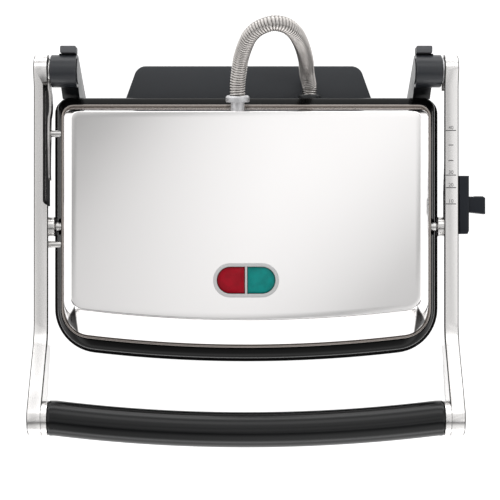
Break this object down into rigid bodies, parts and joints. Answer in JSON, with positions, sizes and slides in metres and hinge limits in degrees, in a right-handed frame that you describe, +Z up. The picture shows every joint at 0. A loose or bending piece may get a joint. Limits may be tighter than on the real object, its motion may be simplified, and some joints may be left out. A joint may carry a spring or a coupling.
{
  "type": "sandwich maker",
  "caption": "Countertop sandwich press: a flat lid floats between two metal arms with a bowed black handle, over a black base.",
  "frame": {"origin": "middle of the press's box, on the table plane under its feet", "axes": "+X to the right arm with the height slider, +Y to the hinges at the rear, +Z up"},
  "size_m": [0.3674, 0.3384, 0.1373],
  "materials": {
    "gloss_black": "gloss black moulded plastic",
    "post_plastic": "satin dark grey plastic",
    "grip_plastic": "satin black plastic",
    "slider_plastic": "satin black plastic",
    "foot_rubber": "black rubber",
    "grey_rubber": "grey rubber",
    "arm_metal": "satin bright die-cast metal",
    "cover_steel": "bright pressed steel",
    "bright_steel": "bright turned steel",
    "conduit_steel": "ribbed flexible steel",
    "sheet_steel": "plain sheet steel",
    "non_stick": "cast plate with black non-stick coating",
    "element_metal": "dark sheathed heating element",
    "white_plastic": "white heat-proof plastic",
    "clear_bezel": "bright gloss bezel",
    "red_plastic": "gloss red lens",
    "green_plastic": "gloss green lens"
  },
  "bodies": {
    "base": {"base_housing": "gloss_black", "base_bottom_cover": "post_plastic", "foot_front_left": "foot_rubber", "foot_front_right": "foot_rubber", "foot_rear_left": "foot_rubber", "foot_rear_right": "foot_rubber", "lower_plate": "non_stick", "lower_element": "element_metal", "lower_heat_shield": "sheet_steel", "lower_thermostat": "white_plastic", "terminal_block": "white_plastic", "hinge_post_left": "post_plastic", "hinge_post_right": "post_plastic", "storage_foot_left": "grey_rubber", "storage_foot_right": "grey_rubber", "hinge_axle_left": "bright_steel", "hinge_axle_right": "bright_steel", "cord_wrap": "post_plastic", "cord_gland": "post_plastic", "conduit_socket": "post_plastic", "height_cam": "sheet_steel", "conduit": "conduit_steel"},
    "arms": {"left_arm": "arm_metal", "right_arm": "arm_metal", "pivot_boss_left": "bright_steel", "pivot_boss_right": "bright_steel", "handle_grip": "grip_plastic", "handle_rod": "bright_steel"},
    "lid": {"lid_frame": "gloss_black", "lid_cover": "cover_steel", "indicator_bezel": "clear_bezel", "red_lens": "red_plastic", "green_lens": "green_plastic", "lamp_holder": "white_plastic", "upper_plate": "non_stick", "upper_element": "element_metal", "upper_heat_shield": "sheet_steel", "upper_thermostat": "white_plastic", "pivot_pin_left": "bright_steel", "pivot_pin_right": "bright_steel", "tilt_stop_pin": "bright_steel", "lever_pin": "bright_steel", "conduit_nut": "bright_steel"},
    "lever": {"tilt_lever": "bright_steel"},
    "slider": {"height_slider": "slider_plastic", "height_bar": "sheet_steel"}
  },
  "joints": [
    {"name": "arms_hinge", "type": "hinge", "parent": "base", "child": "arms", "pos_m": [-0.0111, 0.1327, 0.0745], "axis": [-1, 0, 0], "range_deg": [0, 100], "deforming": ["conduit"]},
    {"name": "lid_tilt", "type": "hinge", "parent": "arms", "child": "lid", "pos_m": [-0.0111, 0.0055, 0.0745], "axis": [-1, 0, 0], "range_deg": [-12, 0]},
    {"name": "lever_turn", "type": "hinge", "parent": "arms", "child": "lever", "pos_m": [-0.171, 0.1327, 0.0745], "axis": [-1, 0, 0], "range_deg": [0, 16.6]},
    {"name": "height_slide", "type": "slide", "parent": "arms", "child": "slider", "axis": [0, 1, 0], "range_m": [0, 0.058]}
  ],
  "couplings": [
    {"joint": "lid_tilt", "follows": "arms_hinge", "ratio": -0.12},
    {"joint": "lever_turn", "follows": "arms_hinge", "ratio": 0.166}
  ]
}
